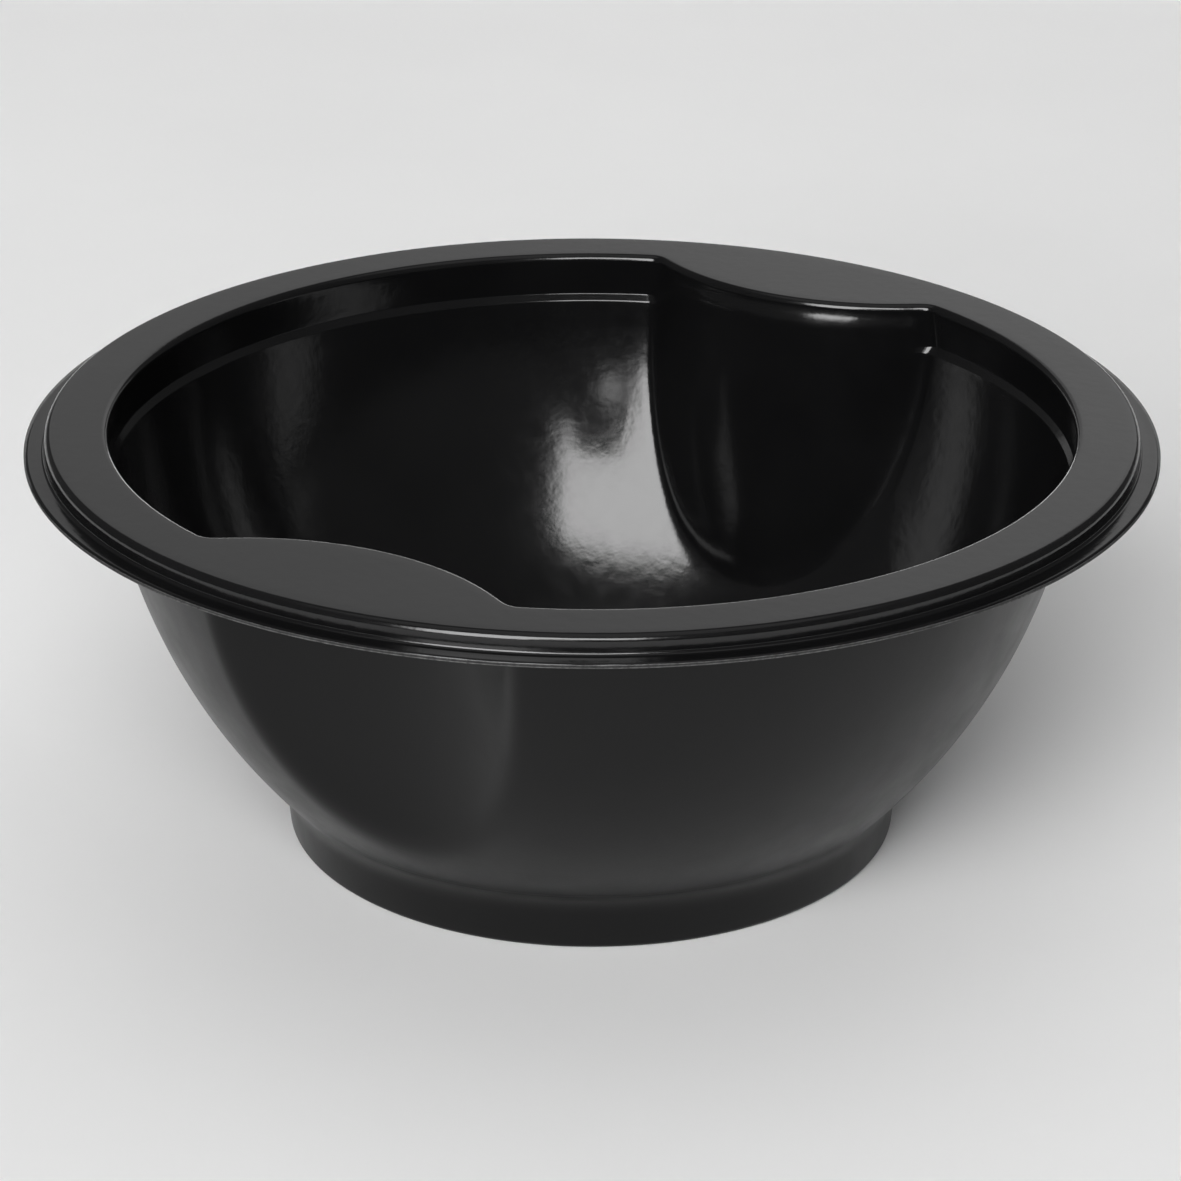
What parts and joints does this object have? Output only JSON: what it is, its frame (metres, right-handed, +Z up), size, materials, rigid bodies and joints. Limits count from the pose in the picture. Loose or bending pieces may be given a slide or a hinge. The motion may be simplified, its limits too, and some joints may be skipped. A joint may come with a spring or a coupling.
{
  "type": "hair color bowl",
  "caption": "Low round mixing bowl in thin black plastic, with a wide flat rim, a trimmed lip, opposed grip recesses, a seat for a lid and a foot.",
  "frame": {"origin": "centre of the ring that the foot stands on, at table level", "axes": "+Z up along the bowl's axis; the two grip recesses face +Y and -Y"},
  "size_m": [0.15, 0.15, 0.0582],
  "materials": {
    "bowl_plastic": "glossy inside, satin outside"
  },
  "bodies": {
    "root": {"bowl": "bowl_plastic"}
  },
  "joints": []
}
